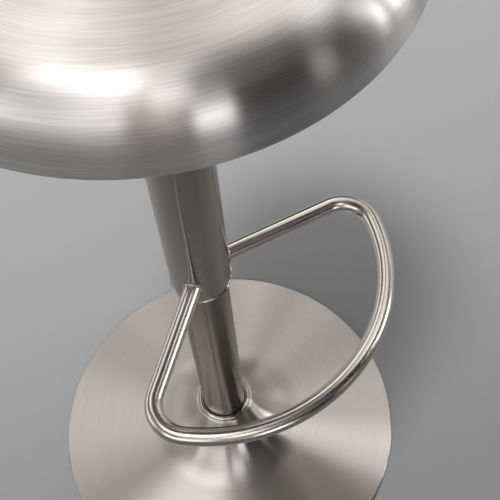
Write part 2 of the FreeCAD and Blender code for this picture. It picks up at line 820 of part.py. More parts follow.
def seat_shell():
    """Spun seat: hem turned in below, upright rim, round shoulder and a low crown."""
    derive("rim_top", "seat_bottom + rim_height")
    derive("crown_share", "(seat_radius - shoulder_radius) / (crown_radius - shoulder_radius)")
    derive("crown_rise_share", "sqrt(1 - crown_share ^ 2)")
    derive("shoulder_across", "seat_radius - shoulder_radius")
    derive("crown_top", "rim_top + crown_radius - (crown_radius - shoulder_radius) * crown_rise_share")
    derive("inner_shoulder", "shoulder_radius - shell_wall")
    derive("inner_edge", "rim_edge_radius - shell_wall")
    return turned("seat_shell", [
        ("seat_radius - hem_width", "seat_bottom"),
        ("seat_radius - rim_edge_radius", "seat_bottom", ("rim_edge_radius", 1)),
        ("seat_radius", "seat_bottom + rim_edge_radius"),
        ("seat_radius", "rim_top", ("shoulder_radius", 1)),
        ("shoulder_across + shoulder_radius * crown_share",
         "rim_top + shoulder_radius * crown_rise_share", ("crown_radius", 1)),
        ("0", "crown_top"),
        ("0", "crown_top - shell_wall", ("crown_radius - shell_wall", -1)),
        ("shoulder_across + inner_shoulder * crown_share",
         "rim_top + inner_shoulder * crown_rise_share", ("inner_shoulder", -1)),
        ("seat_radius - shell_wall", "rim_top"),
        ("seat_radius - shell_wall", "seat_bottom + rim_edge_radius", ("inner_edge", -1)),
        ("seat_radius - rim_edge_radius", "seat_bottom + shell_wall"),
        ("seat_radius - hem_width", "seat_bottom + shell_wall"),
    ])


derive("pan_low", "seat_bottom + shell_wall")
derive("pan_high", "pan_low + pan_wall")
derive("seat_screw_place", "seat_screw_spacing / 2")
derive("seat_screw_circle", "seat_screw_spacing / sqrt(2)")
derive("seat_screw_top", "plate_under - seat_washer_height")


def drill_for_seat(body, radius):
    hole = drill(body, body.Label + "_screw_hole", radius, "seat_screw_place", "seat_screw_place")
    repeat_round(body, hole, 4)
    return body


def seat_pan():
    """Steel disc welded on the hem, which closes the seat from below."""
    body = turned("seat_pan", [
        ("0", "pan_low"),
        ("seat_radius - rim_edge_radius - side_gap", "pan_low"),
        ("seat_radius - rim_edge_radius - side_gap", "pan_high"),
        ("0", "pan_high"),
    ])
    return drill_for_seat(body, "seat_screw_radius + hole_gap")


def square_plate(label, side, corner, low, thick):
    """Square plate with round corners, level, centred on the column."""
    body = new_body(label)
    sketch = new_sketch(body, label + "_square", "XY_Plane")
    draw_outline(sketch, [
        ("0 - " + side + " / 2 + " + corner, "0 - " + side + " / 2"),
        (side + " / 2 - " + corner, "0 - " + side + " / 2", (corner, 1)),
        (side + " / 2", "0 - " + side + " / 2 + " + corner),
        (side + " / 2", side + " / 2 - " + corner, (corner, 1)),
        (side + " / 2 - " + corner, side + " / 2"),
        ("0 - " + side + " / 2 + " + corner, side + " / 2", (corner, 1)),
        ("0 - " + side + " / 2", side + " / 2 - " + corner),
        ("0 - " + side + " / 2", "0 - " + side + " / 2 + " + corner, (corner, 1)),
    ])
    pad = body.newObject("PartDesign::Pad", label + "_sheet")
    pad.Profile = sketch
    pad.setExpression("Length", link(thick))
    body.setExpression("Placement.Base.z", link(low))
    doc.recompute()
    return body


def seat_plate():
    """Plate on top of the upper tube, bolted up against the pan."""
    body = square_plate("seat_plate", "seat_plate_side", "seat_plate_corner", "plate_under",
                        "seat_plate_wall")
    return drill_for_seat(body, "seat_screw_radius + hole_gap")


def backing_plate():
    """Thick plate inside the seat, tapped for the four screws."""
    body = square_plate("backing_plate", "backing_side", "backing_corner", "pan_high", "backing_wall")
    return drill_for_seat(body, "seat_screw_radius + press_gap")


def mounting_screws():
    body = screws("mounting_screws", "seat_screw_circle", "seat_screw_radius", "seat_screw_top",
                  "seat_washer_height + seat_plate_wall + pan_wall + backing_wall"
                  " + screw_spare_length", 4)
    body.Placement = quarter_turned
    return body


def mounting_washers():
    body = turned("mounting_washers", ring("seat_screw_radius + press_gap", "seat_washer_radius",
                                           "seat_screw_top", "plate_under"), axis="seat_screw_circle")
    repeat_round(body, body.Tip, 4)
    body.Placement = quarter_turned
    return body


quarter_turned = FreeCAD.Placement(V(0, 0, 0), FreeCAD.Rotation(V(0, 0, 1), 45))


def lever_bracket():
    """Folded steel channel welded under the seat plate; its two ears hold the pivot."""
    body = new_body("lever_bracket")
    sketch = new_sketch(body, "bracket_section", "YZ_Plane")
    derive("ear_inner", "bracket_gap / 2")
    derive("ear_outer", "bracket_gap / 2 + bracket_wall")
    draw_outline(sketch, [
        ("0 - ear_outer", "lever_up - bracket_foot"),
        ("0 - ear_inner", "lever_up - bracket_foot"),
        ("0 - ear_inner", "plate_under - bracket_wall"),
        ("ear_inner", "plate_under - bracket_wall"),
        ("ear_inner", "lever_up - bracket_foot"),
        ("ear_outer", "lever_up - bracket_foot"),
        ("ear_outer", "plate_under"),
        ("0 - ear_outer", "plate_under"),
    ])
    pad = body.newObject("PartDesign::Pad", "bracket_channel")
    pad.Profile = sketch
    pad.Midplane = True
    pad.setExpression("Length", link("bracket_length"))
    doc.recompute()
    drill(body, "bracket_pin_hole", "lever_pin_radius + press_gap", "0", "lever_up", "XZ_Plane")
    body.setExpression("Placement.Base.x", link("0 - lever_pivot_distance"))
    doc.recompute()
    return body


def lever_pin():
    """Rivet through the ears, lying across the stool, with a head at each end."""
    derive("pin_half", "bracket_gap / 2 + bracket_wall + press_gap")
    derive("pin_head_radius", "lever_pin_radius + lever_pin_radius / 2")
    derive("pin_head_height", "lever_pin_radius / 2")
    body = turned("lever_pin", [
        ("0", "0 - pin_half - pin_head_height"),
        ("pin_head_radius", "0 - pin_half - pin_head_height"),
        ("pin_head_radius", "0 - pin_half"),
        ("lever_pin_radius", "0 - pin_half"),
        ("lever_pin_radius", "pin_half"),
        ("pin_head_radius", "pin_half"),
        ("pin_head_radius", "pin_half + pin_head_height"),
        ("0", "pin_half + pin_head_height"),
    ])
    body.Placement = FreeCAD.Placement(V(0, 0, 0), FreeCAD.Rotation(V(1, 0, 0), 90))
    body.setExpression("Placement.Base.x", link("0 - lever_pivot_distance"))
    body.setExpression("Placement.Base.z", link("lever_up"))
    doc.recompute()
    return body


def lever_rod():
    """Bent rod: level through the column, then drooping towards the seat's rim."""
    body = new_body("lever_rod")
    path = new_sketch(body, "lever_path", "XZ_Plane")
    derive("bend_run", "lever_bend_radius * tan(lever_droop / 2)")
    draw_outline(path, [
        ("lever_inner_reach", "lever_up"),
        ("bend_run - lever_bend_distance", "lever_up", ("lever_bend_radius", 1)),
        ("0 - lever_bend_distance - bend_run * cos(lever_droop)",
         "lever_up - bend_run * sin(lever_droop)"),
        ("0 - lever_bend_distance - lever_reach * cos(lever_droop)",
         "lever_up - lever_reach * sin(lever_droop)"),
    ], closed=False)
    doc.recompute()
    section = body.newObject("Sketcher::SketchObject", "lever_section")
    section.AttachmentSupport = [(path, "Edge1")]
    section.MapMode = "NormalToEdge"
    circle = section.addGeometry(Part.Circle(V(0, 0, 0), V(0, 0, 1), amount("lever_rod_radius")))
    section.addConstraint(Sketcher.Constraint("Coincident", circle, 3, -1, 1))
    bind(section, "Radius", "lever_rod_radius", circle)
    doc.recompute()
    rod = body.newObject("PartDesign::AdditivePipe", "lever_bar")
    rod.Profile = section
    rod.Spine = path
    doc.recompute()
    drill(body, "lever_pin_hole", "lever_pin_radius + pin_gap", "0 - lever_pivot_distance",
          "lever_up", "XZ_Plane")
    return body


def lever_knob():
    """Plastic grip pushed on the lever's end, slimmer where it starts."""
    derive("knob_depth", "knob_length - knob_wall")
    body = turned("lever_knob", [
        ("lever_rod_radius + press_gap", "0"),
        ("knob_neck_radius", "0"),
        ("knob_radius", "knob_length / 2"),
        ("knob_radius", "knob_length - knob_round", ("knob_round", 1)),
        ("knob_radius - knob_round", "knob_length"),
        ("0", "knob_length"),
        ("0", "knob_depth + press_gap"),
        ("lever_rod_radius + press_gap", "knob_depth + press_gap"),
    ])
    body.setExpression("Placement", link(
        "placement(vector(0 - lever_bend_distance - (lever_reach - knob_depth) * cos(lever_droop); 0;"
        " lever_up - (lever_reach - knob_depth) * sin(lever_droop));"
        " rotation(vector(0; 0 - 1; 0); 90 + lever_droop))"))
    doc.recompute()
    return body


PIECES = [
    base_cover(), base_plate(), floor_ring(), ballast_ring(), tube_flange(), flange_screws(),
    lower_tube(), base_collar(), collar_gasket(), guide_bush(), lower_race(),
    ball_cage(), bearing_balls(),
    upper_race(), piston_rod(), piston_head(), bump_stop(), retaining_washer(), retaining_clip(),
    gas_cylinder(), cylinder_gland(), upper_tube(), guide_ring(), taper_hub(),
    footrest(), footrest_weld("left", 1), footrest_weld("right", -1),
    seat_shell(), seat_pan(), seat_plate(), backing_plate(), mounting_screws(), mounting_washers(),
    lever_bracket(), lever_pin(), lever_rod(), lever_knob(), valve_pin(),
]

doc.recompute()
for item in doc.Objects:
    if "Invalid" in item.State or "Error" in item.State:
        raise ValueError(item.Label + " failed: " + ", ".join(item.State))
for piece in PIECES:
    if piece.Shape.isNull() or not piece.Shape.isValid() or not piece.Shape.Solids:
        raise ValueError(piece.Label + " has no sound solid")

os.makedirs("parts", exist_ok=True)
for piece in PIECES:
    piece.Shape.exportStep("parts/" + piece.Label + ".step")
    box = piece.Shape.BoundBox
    print("%-20s solids %2d volume %10.1f  x %7.1f %7.1f  y %7.1f %7.1f  z %6.1f %6.1f" % (
        piece.Label, len(piece.Shape.Solids), piece.Shape.Volume,
        box.XMin, box.XMax, box.YMin, box.YMax, box.ZMin, box.ZMax))
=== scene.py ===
import bpy
import math
import numpy as np
from mathutils import Matrix


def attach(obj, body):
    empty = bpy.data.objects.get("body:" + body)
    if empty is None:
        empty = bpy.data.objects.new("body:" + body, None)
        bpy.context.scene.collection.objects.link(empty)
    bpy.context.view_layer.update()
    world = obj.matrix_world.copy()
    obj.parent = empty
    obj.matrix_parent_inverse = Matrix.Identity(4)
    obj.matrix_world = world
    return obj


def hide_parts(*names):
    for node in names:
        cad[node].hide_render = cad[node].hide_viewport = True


# Bar stool in brushed stainless steel. Metres, origin on the floor under the column, +Z up,
# footrest towards -Y. The sections follow the stool as it is put together, from the floor up.

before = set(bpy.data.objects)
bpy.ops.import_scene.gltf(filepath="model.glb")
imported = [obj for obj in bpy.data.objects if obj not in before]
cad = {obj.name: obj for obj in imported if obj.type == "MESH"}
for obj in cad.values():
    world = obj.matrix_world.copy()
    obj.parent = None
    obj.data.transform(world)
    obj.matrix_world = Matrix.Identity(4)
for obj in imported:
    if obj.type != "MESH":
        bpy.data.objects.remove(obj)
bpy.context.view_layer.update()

# Floor plate, rubber ring and cast ring
# The plate is pressed from black coated sheet. A rubber ring is glued under its rim, and a
# cast iron ring lies on it, so that the stool doesn't tip.


class Wire:
    """One output in a tree of shader nodes. Sums and products of wires add Math nodes."""

    def __init__(self, output):
        self.output = output

    def add(self, kind, settings, sockets, output=0):
        """Add a node: first its settings, then the values or wires of its sockets."""
        tree = self.output.id_data
        node = tree.nodes.new(kind)
        for name, value in settings.items():
            setattr(node, name, value)
        for name, value in sockets.items():
            if isinstance(value, Wire):
                tree.links.new(value.output, node.inputs[name])
            else:
                node.inputs[name].default_value = value
        return Wire(node.outputs[output])

    def math(self, operation, *others):
        """A Math node on this wire and then the others."""
        terms = dict(enumerate((self,) + others))
        return self.add("ShaderNodeMath", {"operation": operation}, terms)

    def __add__(self, other):
        return self.math("ADD", other)

    def __mul__(self, other):
        return self.math("MULTIPLY", other)

    def __sub__(self, other):
        return self.math("SUBTRACT", other)

    def __truediv__(self, other):
        return self.math("DIVIDE", other)

    def __rsub__(self, other):
        return self * -1.0 + other

    def __rtruediv__(self, other):
        return self.math("POWER", -1.0) * other

    __radd__ = __add__
    __rmul__ = __mul__

    def parts(self):
        """The three numbers of a vector, as wires."""
        first = self.add("ShaderNodeSeparateXYZ", {}, {0: self})
        return [Wire(output) for output in first.output.node.outputs]

    def noise(self, fine, detail=3.0, rough=0.5):
        """Cloudy noise between 0 and 1, with features of about 1 / fine."""
        return self.add("ShaderNodeTexNoise", {}, {
            "Vector": self, "Scale": fine, "Detail": detail, "Roughness": rough})

    def between(self, low, high):
        """A colour that runs from low to high as this wire runs from 0 to 1."""
        return self.add("ShaderNodeMix", {"data_type": "RGBA"}, {
            0: self, 6: (*low, 1.0), 7: (*high, 1.0)}, 2)

    def bump(self, depth):
        """Surface relief of a depth in metres."""
        return self.add("ShaderNodeBump", {}, {"Height": self, "Distance": depth})


def finish(name, **values):
    """A material whose shader has these values. Returns it with its object coordinates."""
    material = bpy.data.materials.new(name)
    material.use_nodes = True
    shader = material.node_tree.nodes["Principled BSDF"]
    for key, value in values.items():
        shader.inputs[key.replace("_", " ")].default_value = value
    place = material.node_tree.nodes.new("ShaderNodeTexCoord")
    return material, Wire(place.outputs["Object"])


def feed(material, **wires):
    """Link wires to the shader's sockets, and return the material."""
    shader = material.node_tree.nodes["Principled BSDF"]
    for key, wire in wires.items():
        material.node_tree.links.new(wire.output, shader.inputs[key.replace("_", " ")])
    return material


def dress(material, *nodes):
    """Give a material to CAD nodes that stay as they are."""
    for node in nodes:
        cad[node].data.materials.clear()
        cad[node].data.materials.append(material)


def coated(name, dark, light, rough):
    """Powder coat: shade and gloss vary in soft patches, under a fine orange-peel relief."""
    material, place = finish(name, Specular_IOR_Level=0.45)
    cloud = place.noise(fine=45.0)
    peel = place.noise(fine=900.0, detail=2.0)
    return feed(material, Base_Color=cloud.between(dark, light),
                Roughness=cloud * 0.12 + rough, Normal=peel.bump(depth=0.00012))


def rubbery(name, dark, light, grain):
    """Matt rubber or plastic: soft patches under a moulded grain, 1 / grain metres wide."""
    material, place = finish(name, Specular_IOR_Level=0.35)
    cloud = place.noise(fine=60.0)
    return feed(material, Base_Color=cloud.between(dark, light),
                Roughness=cloud * 0.2 + 0.55, Normal=place.noise(grain).bump(depth=0.0001))


black_steel = coated("black_steel", (0.035, 0.035, 0.038), (0.06, 0.06, 0.064), rough=0.42)
rubber = rubbery("rubber", (0.022, 0.022, 0.022), (0.038, 0.038, 0.037), grain=1500.0)

cast_iron, place = finish("cast_iron", Metallic=0.85)
lump = place.noise(fine=220.0, detail=5.0, rough=0.65)
cast_iron = feed(cast_iron, Base_Color=lump.between((0.13, 0.13, 0.135), (0.27, 0.26, 0.25)),
                 Roughness=lump * 0.3 + 0.5, Normal=lump.bump(depth=0.0006))

dress(black_steel, "base_plate")
dress(rubber, "floor_ring")
dress(cast_iron, "ballast_ring")

# Lower tube with its flange, screws and guide bush
# The tube is stainless, ground on a lathe to a fine satin that runs round it. It is welded
# to a zinc plated flange, which four screws hold on the floor plate.

# Lengths below this count as nothing
TINY = 1e-7


def outline(*corners, closed=False, step=0.004, swing=5.0):
    """A line through corners (across, up, radius): straight runs, joined by arcs.

    An arc touches both of its runs, so it starts radius * tan(turn / 2) before its corner,
    and its centre lies one radius to the side that the line turns to. Runs are cut at every
    step, and arcs at every two steps or swing degrees, whichever is finer, and at least four
    times. Returns the points and the directions of travel there."""
    spots = np.array([corner[:2] for corner in corners], float)
    radii = [corner[2] if len(corner) > 2 else 0.0 for corner in corners]
    count = len(spots)
    points, ways = [], []
    last = None
    for index in range(count + closed):
        here = spots[index % count]
        inner = closed or 0 < index < count - 1
        before, after = spots[(index - 1) % count], spots[(index + 1) % count]
        into = (here - before) / (np.linalg.norm(here - before) or 1.0)
        out = (after - here) / (np.linalg.norm(after - here) or 1.0)
        cross = into[0] * out[1] - into[1] * out[0]
        turn = math.atan2(cross, float(into @ out)) if inner else 0.0
        radius = radii[index % count]
        reach = radius * math.tan(abs(turn) / 2)
        start, end = here - into * reach, here + out * reach
        if last is not None:
            length = np.linalg.norm(start - last)
            cuts = max(int(length / step), 1) if length > TINY else 0
            share = np.arange(1 if points else 0, cuts + 1)[:, None] / max(cuts, 1)
            points.append(last + (start - last) * share)
            ways.append(np.repeat(into[None], len(share), 0))
        if reach > 0 and not (closed and index == 0):
            side = np.array((-into[1], into[0])) * math.copysign(radius, turn)
            cuts = max(int(abs(math.degrees(turn)) / swing), int(abs(turn) * radius / step / 2), 4)
            angle = np.arange(1, cuts + 1)[:, None] / cuts * turn
            tilted = np.hstack((np.cos(angle) * into[0] - np.sin(angle) * into[1],
                                np.sin(angle) * into[0] + np.cos(angle) * into[1]))
            flank = np.hstack((-tilted[:, 1:], tilted[:, :1])) * math.copysign(radius, turn)
            points.append(start + side - flank)
            ways.append(tilted)
        last = end
    points, ways = np.vstack(points), np.vstack(ways)
    return (points[:-1], ways[:-1]) if closed else (points, ways)


def skin(name, points, normals, faces, material, flat=()):
    """A smooth mesh from points, a normal at each, and faces as lists of corners. The faces
    whose numbers flat gives are shaded flat."""
    mesh = bpy.data.meshes.new(name)
    mesh.from_pydata(points.tolist(), [], faces)
    mesh.materials.append(material)
    mesh.polygons.foreach_set("use_smooth", np.ones(len(mesh.polygons), bool))
    corners = np.empty(len(mesh.loops), np.int32)
    mesh.loops.foreach_get("vertex_index", corners)
    normals = normals[corners]
    for face in (mesh.polygons[number] for number in flat):
        normals[face.loop_start:face.loop_start + face.loop_total] = face.normal
    mesh.normals_split_custom_set(normals.tolist())
    piece = bpy.data.objects.new(name, mesh)
    bpy.context.scene.collection.objects.link(piece)
    return piece


def grid_faces(rows, columns, loop):
    """Quads between neighbours on a grid whose columns close, and whose rows may."""
    row, column = np.meshgrid(np.arange(rows if loop else rows - 1), np.arange(columns),
                              indexing="ij")
    below, beside = (row + 1) % rows, (column + 1) % columns
    corners = [row * columns + column, below * columns + column,
               below * columns + beside, row * columns + beside]
    return np.stack(corners, -1).reshape(-1, 4)


def spin(name, points, ways, material, around=360, loop=True):
    """A line turned about the upright axis: (across * cos, across * sin, up) of each angle.

    The surface faces left of the line's travel. A point on the axis becomes one pole,
    and the quads that meet it become triangles."""
    angle = np.arange(around) / around * 2 * np.pi
    across, up = points[:, :1], points[:, 1:]
    grid = np.stack((across * np.cos(angle), across * np.sin(angle), up + angle * 0), -1)
    out, rise = -ways[:, 1:], ways[:, :1]
    normals = np.stack((out * np.cos(angle), out * np.sin(angle), rise + angle * 0), -1)
    index = np.arange(len(points) * around)
    for row in np.flatnonzero(points[:, 0] < TINY):
        index[row * around:(row + 1) * around] = row * around
        normals[row] = (0, 0, np.sign(ways[row, 0]))
    quads = index[grid_faces(len(points), around, loop)]
    kept, index = np.unique(quads, return_inverse=True)
    quads = index.reshape(quads.shape)
    upper, lower = quads[:, 0] == quads[:, 3], quads[:, 1] == quads[:, 2]
    faces = quads[~(upper | lower)].tolist() + quads[upper][:, :3].tolist()
    faces += quads[lower & ~upper][:, [0, 1, 3]].tolist()
    return skin(name, grid.reshape(-1, 3)[kept], normals.reshape(-1, 3)[kept], faces, material)


def streaks(place, measure, pitch, arc):
    """Brush marks round the axis, from 0 to 1: noise over (cos, sin) of the angle, scaled so
    that a mark is about 1 / arc radians long, and over a measure across the marks, divided
    by their pitch. The radius stays above 0.1 mm, so that nothing is divided by zero."""
    x, y, _ = place.parts()
    radius = (x * x + y * y).math("SQRT").math("MAXIMUM", 0.0001)
    mixed = place.add("ShaderNodeCombineXYZ", {}, {
        0: x / radius * arc, 1: y / radius * arc, 2: measure / pitch})
    return mixed.noise(fine=1.0, detail=2.0, rough=0.6)


def fade(wire, near, far):
    """1 up to near, 0 from far on, and an even S between."""
    return wire.add("ShaderNodeMapRange", {"interpolation_type": "SMOOTHSTEP"}, {
        0: wire, 1: near, 2: far, 3: 1.0, 4: 0.0})


def ground_tube(name, dark, light, rough, foot=0.0, soft=0.0002):
    """Satin ground stainless tube: marks round it that spread highlights along it, and a bright
    polished edge below the height of its foot, with a soft border. The greys dark and light that
    callers give are darkened in part as painted shade."""
    material, place = finish(name, Metallic=1.0, Anisotropic=0.95, Anisotropic_Rotation=0.25)
    height = place.parts()[2]
    marks = streaks(place, height, pitch=0.0011, arc=2.0)
    bands = streaks(place, height, pitch=0.012, arc=1.0)
    satin_and_painted_shade, bright = (marks * 0.5 + bands * 0.5).between(dark, light), (0.88, 0.86, 0.83, 1.0)
    colour = height.add("ShaderNodeMix", {"data_type": "RGBA"}, {
        0: fade(height, foot, foot + soft), 6: satin_and_painted_shade, 7: bright}, 2)
    return feed(material, Base_Color=colour, Normal=marks.bump(depth=0.000004),
                Roughness=marks * 0.08 + bands * 0.04 + rough)


def zinc(name, dark, light):
    """Bright zinc plate: small pale grains, slightly cloudy."""
    material, place = finish(name, Metallic=1.0)
    grain = place.add("ShaderNodeTexVoronoi", {}, {"Vector": place, "Scale": 700.0})
    share = grain * 0.6 + place.noise(fine=90.0) * 0.4
    return feed(material, Base_Color=share.between(dark, light), Roughness=share * 0.2 + 0.22)


TUBE_TOP, TUBE_FOOT = 0.508, 0.014
TUBE_RADIUS, TUBE_WALL = 0.025, 0.002
END_ROUNDING = 0.0004

# Painted shade: the lower tube's greys are far darker than bare stainless. They stand in for the
# shade under the upper tube and the dark that the tube mirrors.
column_steel = ground_tube("column_steel", (0.25, 0.222, 0.195), (0.31, 0.28, 0.25), rough=0.17)
zinc_steel = zinc("zinc_steel", (0.50, 0.52, 0.55), (0.66, 0.68, 0.70))
black_plastic = rubbery("black_plastic", (0.03, 0.03, 0.032), (0.048, 0.048, 0.05), grain=700.0)

tube_bore = TUBE_RADIUS - TUBE_WALL
lower_tube = spin("lower_tube_skin", *outline(
    (TUBE_RADIUS, TUBE_TOP, END_ROUNDING), (TUBE_RADIUS, TUBE_FOOT, END_ROUNDING),
    (tube_bore, TUBE_FOOT, END_ROUNDING), (tube_bore, TUBE_TOP, END_ROUNDING),
    closed=True, step=0.02), column_steel, around=160)
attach(lower_tube, "base")
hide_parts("lower_tube")
dress(zinc_steel, "tube_flange", "flange_screws")
dress(black_plastic, "guide_bush")

# Base cover and its collar
# The cover is stainless sheet, spun over a former and brushed in circles while it turns. A
# polished ring sits in its mouth, with a rubber sleeve between the ring and the tube.


def sheet(points, ways, wall, ends=(True, True)):
    """Both faces of a sheet whose middle is a line: the line moved half a wall to each side.

    An end that has an edge is half round: sin(a) * half a wall to the side + cos(a) * half
    a wall along the line. The line's start has one where ends[0] says so, its end ends[1]."""
    left = np.stack((-ways[:, 1], ways[:, 0]), -1) * wall / 2
    half = np.radians((60.0, 30.0, 0.0, -30.0, -60.0))[:, None]
    rows, travel = [points + left], [ways]
    for end, present in ((-1, ends[1]), (0, ends[0])):
        if present:
            sign = 1 if end else -1
            edge = np.sin(half) * left[end] * sign + np.cos(half) * ways[end] * sign * wall / 2
            rows.append(points[end] + edge)
            normal = edge / (wall / 2)
            travel.append(np.stack((normal[:, 1], -normal[:, 0]), -1))
        if end:
            rows.append((points - left)[::-1])
            travel.append(-ways[::-1])
    return np.vstack(rows), np.vstack(travel)


def brushed_disc(name, dark, light, rough, measure_of, pitch, relief):
    """Sheet brushed while it turns: fine marks in circles, broader bands between them, and
    a soft haze. The marks change shade, gloss and relief together.

    The marks follow measure_of(distance from the axis, height). The gloss varies little and
    stays on one side of a roughness of 0.274, because the render's noise filter takes metal
    below that for a mirror, and leaves cracks in the picture where a surface crosses it."""
    material, place = finish(name, Metallic=1.0, Anisotropic=1.0, Anisotropic_Rotation=0.25)
    x, y, z = place.parts()
    measure = measure_of((x * x + y * y).math("SQRT"), z)
    marks = streaks(place, measure, pitch, arc=4.0)
    bands = streaks(place, measure, pitch * 7, arc=0.8)
    haze = place.noise(fine=9.0, detail=2.0)
    shade = marks * 1.4 + bands * 0.5 + haze * 0.2 - 0.55
    return feed(material, Base_Color=shade.between(dark, light),
                Roughness=marks * 0.02 + bands * 0.01 + rough,
                Normal=(marks * 0.7 + bands * 0.6).bump(relief))


BASE_RADIUS, BASE_WALL, BASE_LIFT, BASE_TOP = 0.210, 0.0012, 0.0008, 0.0812
CONE_SLOPE, NECK_SLOPE = math.radians(6.3), math.radians(72.0)
FLARE_RADIUS, EDGE_RADIUS, LIP_RADIUS = 0.070, 0.0018, 0.003
LIP_ACROSS, SKIRT = 0.0314, 0.0012
COLLAR_INNER, COLLAR_OUTER, COLLAR_TOP, COLLAR_FOOT = 0.0259, 0.0305, 0.082, 0.068
COLLAR_ROUNDING = 0.0015

base_steel = brushed_disc("base_steel", (0.53, 0.501, 0.475), (0.61, 0.58, 0.554), rough=0.268,
                          measure_of=lambda across, up: across - up, pitch=0.0011,
                          relief=0.000003)
polished_steel, place = finish("polished_steel", Metallic=1.0)
swirl = streaks(place, place.parts()[2], pitch=0.0004, arc=2.0)
polished_steel = feed(polished_steel, Roughness=swirl * 0.08 + 0.09,
                      Base_Color=swirl.between((0.72, 0.69, 0.65), (0.78, 0.75, 0.71)))

# The middle of the sheet: the cone starts where the rounded edge ends and the neck where the
# lip ends, and the flare's corner is where these two straight runs would meet.
edge_middle, lip_middle = BASE_RADIUS - BASE_WALL / 2, BASE_TOP - BASE_WALL / 2
cone_up = BASE_LIFT + SKIRT + EDGE_RADIUS * math.cos(CONE_SLOPE)
cone_across = edge_middle - EDGE_RADIUS + EDGE_RADIUS * math.sin(CONE_SLOPE)
neck_up = lip_middle - LIP_RADIUS + LIP_RADIUS * math.cos(NECK_SLOPE)
neck_across = LIP_ACROSS + LIP_RADIUS * math.sin(NECK_SLOPE)
cone_rate, neck_rate = math.tan(CONE_SLOPE), math.tan(NECK_SLOPE)
meet = (cone_up - neck_up + cone_rate * cone_across - neck_rate * neck_across) / (
    cone_rate - neck_rate)
cover_line = outline(
    (LIP_ACROSS, lip_middle),
    (neck_across + (neck_up - lip_middle) / neck_rate, lip_middle, LIP_RADIUS),
    (meet, cone_up + cone_rate * (cone_across - meet), FLARE_RADIUS),
    (edge_middle, cone_up + cone_rate * (cone_across - edge_middle), EDGE_RADIUS),
    (edge_middle, BASE_LIFT + BASE_WALL / 2))
base_cover = spin("base_cover_skin", *sheet(*cover_line, BASE_WALL), base_steel)
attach(base_cover, "base")
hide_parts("base_cover")

collar = spin("base_collar_skin", *outline(
    (COLLAR_OUTER, COLLAR_TOP, COLLAR_ROUNDING), (COLLAR_OUTER, COLLAR_FOOT, END_ROUNDING),
    (COLLAR_INNER, COLLAR_FOOT, END_ROUNDING), (COLLAR_INNER, COLLAR_TOP, COLLAR_ROUNDING),
    closed=True, swing=10.0), polished_steel, around=160)
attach(collar, "base")
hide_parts("base_collar")
dress(rubber, "collar_gasket")

# Thrust bearing under the rod
# Ten ground balls in a nylon cage between two hardened races. It stands on the flange and
# carries everything that turns.

bearing_steel, place = finish("bearing_steel", Metallic=1.0)
lapping = place.noise(fine=1200.0, detail=2.0)
bearing_steel = feed(bearing_steel, Roughness=lapping * 0.1 + 0.1,
                     Base_Color=lapping.between((0.60, 0.61, 0.63), (0.70, 0.71, 0.73)))
cage_plastic = rubbery("cage_plastic", (0.66, 0.62, 0.52), (0.76, 0.72, 0.62), grain=900.0)
dress(bearing_steel, "lower_race", "upper_race", "bearing_balls")
dress(cage_plastic, "ball_cage")

# Gas spring
# A chromed rod that stands on the bearing, held at its foot by a washer and a clip, and a
# black enamelled cylinder that rides up and down on it. A rubber buffer ends its travel.

lever_chrome, place = finish("lever_chrome", Metallic=1.0)
polish = place.noise(fine=260.0, detail=2.0)
lever_chrome = feed(lever_chrome, Roughness=polish * 0.06 + 0.07,
                    Base_Color=polish.between((0.72, 0.72, 0.73), (0.78, 0.78, 0.79)))
plain_steel, place = finish("plain_steel", Metallic=1.0)
lathe = streaks(place, place.parts()[2], pitch=0.0005, arc=1.5)
plain_steel = feed(plain_steel, Roughness=lathe * 0.15 + 0.3,
                   Base_Color=lathe.between((0.40, 0.40, 0.41), (0.50, 0.50, 0.51)))
black_enamel = coated("black_enamel", (0.022, 0.022, 0.024), (0.036, 0.036, 0.038), rough=0.26)
dress(lever_chrome, "piston_rod")
dress(plain_steel, "piston_head", "retaining_washer", "retaining_clip", "cylinder_gland",
      "valve_pin")
dress(black_enamel, "gas_cylinder")
dress(rubber, "bump_stop")

# Upper tube with its hub and guide ring
# Satin ground stainless, with a small polished lip turned at its foot and a slot for the
# lever. A hub welded inside grips the cylinder, and a plastic ring runs on the lower tube.

UPPER_RADIUS, UPPER_WALL = 0.029, 0.002
UPPER_FOOT, UPPER_TOP = 0.381, 0.7782
BEVEL, LIP, LIP_ROUNDING = 0.0008, 0.0011, 0.0002
SLOT_LOW, SLOT_HIGH, SLOT_HALF = 0.7605, 0.7735, 0.005

lip_top = UPPER_FOOT + BEVEL + LIP / 2
# Partly painted shade: these greys are darker than the stainless would be, so the tube looks
# shaded. The satin marks themselves are real.
upper_steel = ground_tube("upper_column_steel", (0.34, 0.31, 0.28), (0.40, 0.37, 0.34),
                          rough=0.10, foot=lip_top)


